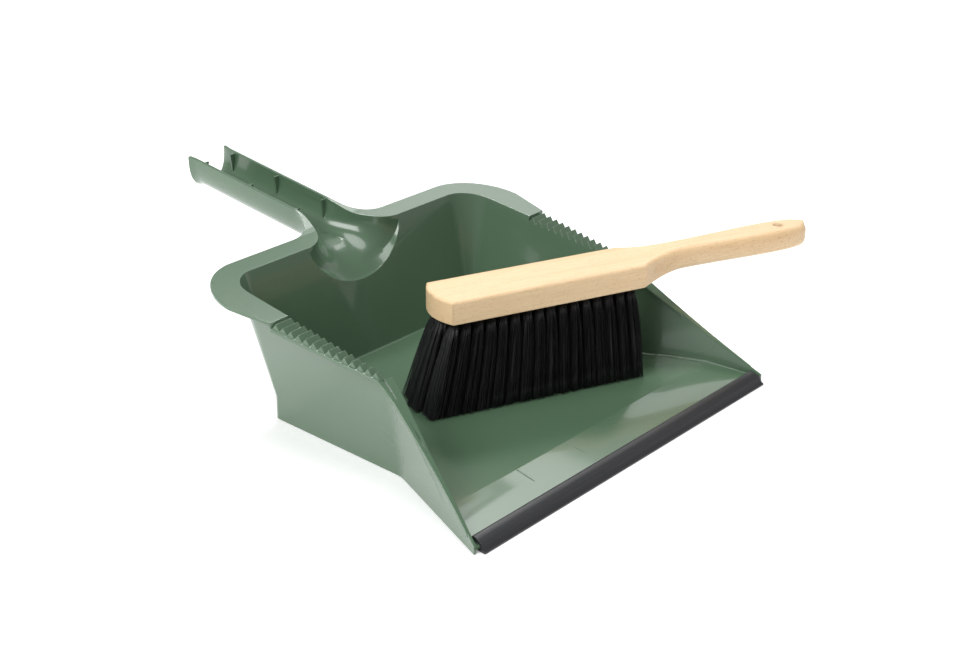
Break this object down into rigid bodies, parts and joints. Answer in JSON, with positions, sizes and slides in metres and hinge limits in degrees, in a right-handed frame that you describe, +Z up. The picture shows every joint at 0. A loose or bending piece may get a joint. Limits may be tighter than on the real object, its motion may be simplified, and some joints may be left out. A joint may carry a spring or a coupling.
{
  "type": "dust pan and brush set",
  "caption": "Deep moulded dust pan with raised walls, combed rims, an open channel handle and a rubber front lip, with a wooden hand brush standing in it.",
  "frame": {"origin": "on the floor that the pan stands on, under the middle of the whole set's bounding box", "axes": "+Z up; +Y from the rubber lip towards the end of the pan's handle, parallel to the pan's plane of symmetry; +X to the side that the brush's handle points to"},
  "size_m": [0.4198, 0.427, 0.1391],
  "materials": {
    "green_plastic": "satin moulded polypropylene, dark green",
    "black_rubber": "satin extruded rubber",
    "beech": "pale beech, sanded and thinly lacquered",
    "black_bristle": "black fibre"
  },
  "bodies": {
    "pan": {"dustpan": "green_plastic", "rubber_lip": "black_rubber"},
    "brush": {"brush_handle": "beech", "tuft_near_01": "black_bristle", "tuft_near_02": "black_bristle", "tuft_near_03": "black_bristle", "tuft_near_04": "black_bristle", "tuft_near_05": "black_bristle", "tuft_near_06": "black_bristle", "tuft_near_07": "black_bristle", "tuft_near_08": "black_bristle", "tuft_near_09": "black_bristle", "tuft_near_10": "black_bristle", "tuft_near_11": "black_bristle", "tuft_near_12": "black_bristle", "tuft_near_13": "black_bristle", "tuft_near_14": "black_bristle", "tuft_near_15": "black_bristle", "tuft_near_16": "black_bristle", "tuft_mid_01": "black_bristle", "tuft_mid_02": "black_bristle", "tuft_mid_03": "black_bristle", "tuft_mid_04": "black_bristle", "tuft_mid_05": "black_bristle", "tuft_mid_06": "black_bristle", "tuft_mid_07": "black_bristle", "tuft_mid_08": "black_bristle", "tuft_mid_09": "black_bristle", "tuft_mid_10": "black_bristle", "tuft_mid_11": "black_bristle", "tuft_mid_12": "black_bristle", "tuft_mid_13": "black_bristle", "tuft_mid_14": "black_bristle", "tuft_mid_15": "black_bristle", "tuft_mid_16": "black_bristle", "tuft_far_01": "black_bristle", "tuft_far_02": "black_bristle", "tuft_far_03": "black_bristle", "tuft_far_04": "black_bristle", "tuft_far_05": "black_bristle", "tuft_far_06": "black_bristle", "tuft_far_07": "black_bristle", "tuft_far_08": "black_bristle", "tuft_far_09": "black_bristle", "tuft_far_10": "black_bristle", "tuft_far_11": "black_bristle", "tuft_far_12": "black_bristle", "tuft_far_13": "black_bristle", "tuft_far_14": "black_bristle", "tuft_far_15": "black_bristle", "tuft_far_16": "black_bristle"}
  },
  "joints": [
    {"name": "brush_lift", "type": "slide", "parent": "pan", "child": "brush", "axis": [0, 0, 1], "range_m": [0, 0.25]}
  ]
}
